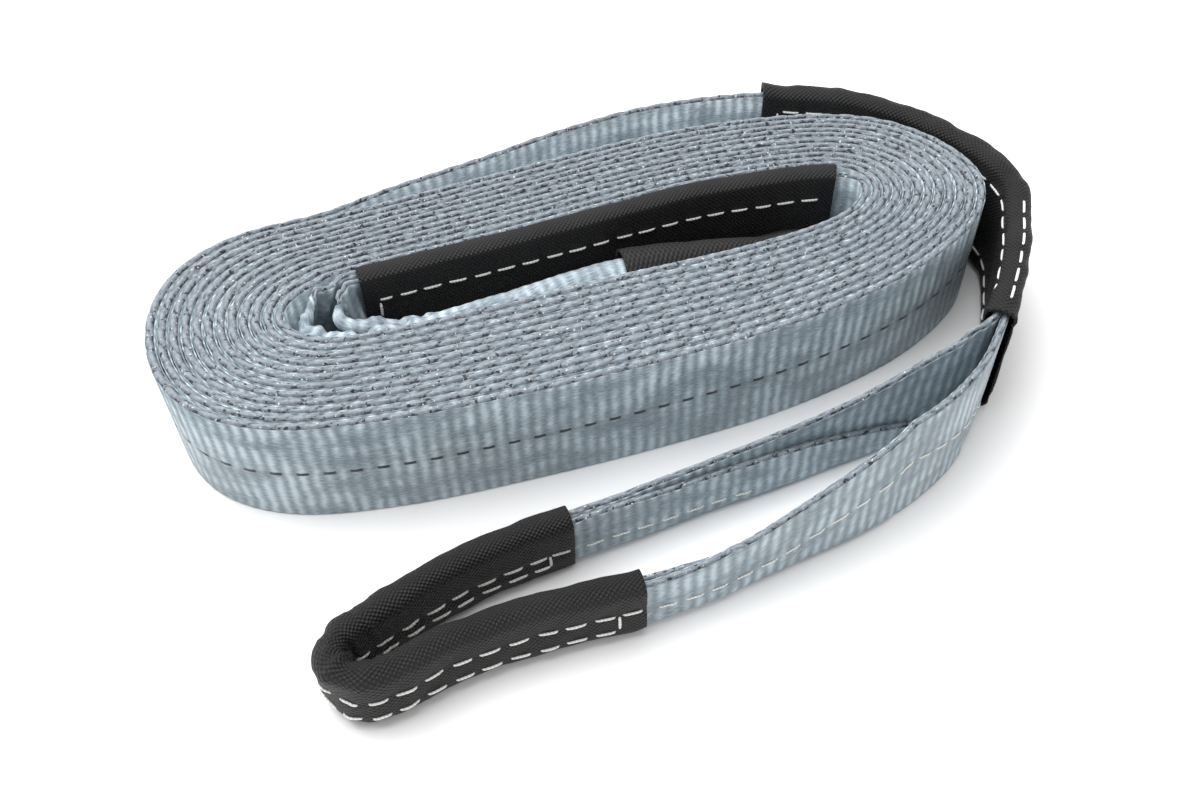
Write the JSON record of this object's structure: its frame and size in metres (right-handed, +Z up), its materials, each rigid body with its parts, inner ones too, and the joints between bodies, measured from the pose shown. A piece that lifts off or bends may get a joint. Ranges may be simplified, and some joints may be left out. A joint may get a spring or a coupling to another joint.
{
  "type": "recovery strap",
  "caption": "Flat webbing recovery strap with sewn, sleeved end loops, rolled into an oval coil that stands on the edge of its webbing.",
  "frame": {"origin": "middle of the outline's box, on the floor that the coil rests on", "axes": "+X along the coil's long side, towards the end with the outer splice; +Y away from the free eye, to the back of the coil; +Z up, across the webbing's width"},
  "size_m": [0.3354, 0.2154, 0.0527],
  "materials": {
    "webbing": "woven polyester webbing, grey-blue, slightly glossy lengthwise",
    "sleeve": "black coarse plain-weave nylon, matt"
  },
  "bodies": {
    "root": {"webbing": "webbing", "outer_splice_sleeve": "sleeve", "outer_eye_sleeve": "sleeve", "inner_splice_sleeve": "sleeve", "inner_eye_sleeve": "sleeve"}
  },
  "joints": []
}
